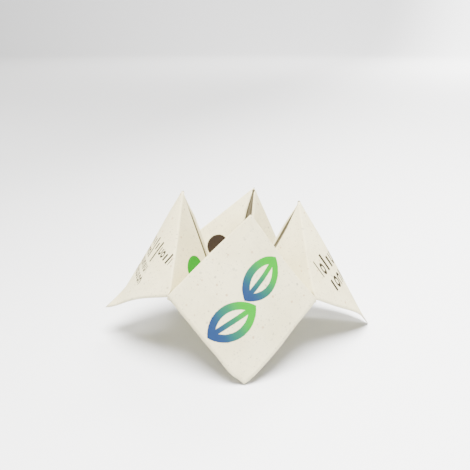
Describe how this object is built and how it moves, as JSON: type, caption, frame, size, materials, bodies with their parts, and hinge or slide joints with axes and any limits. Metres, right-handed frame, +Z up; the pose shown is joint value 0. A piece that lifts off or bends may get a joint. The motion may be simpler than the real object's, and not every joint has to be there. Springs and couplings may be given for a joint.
{
  "type": "paper fortune teller",
  "caption": "Paper fortune teller folded from one printed square sheet, standing half open on its loose corners with its pointed tips up.",
  "frame": {"origin": "middle of the bounding box on the ground plane that the sheet stands on", "axes": "+Z up, the front flap printed with two leaves faces -Y, the strongly curled loose corner points to -X"},
  "size_m": [0.1346, 0.1194, 0.0737],
  "materials": {
    "paper": "matte"
  },
  "bodies": {
    "root": {"folded_sheet": "paper"}
  },
  "joints": []
}
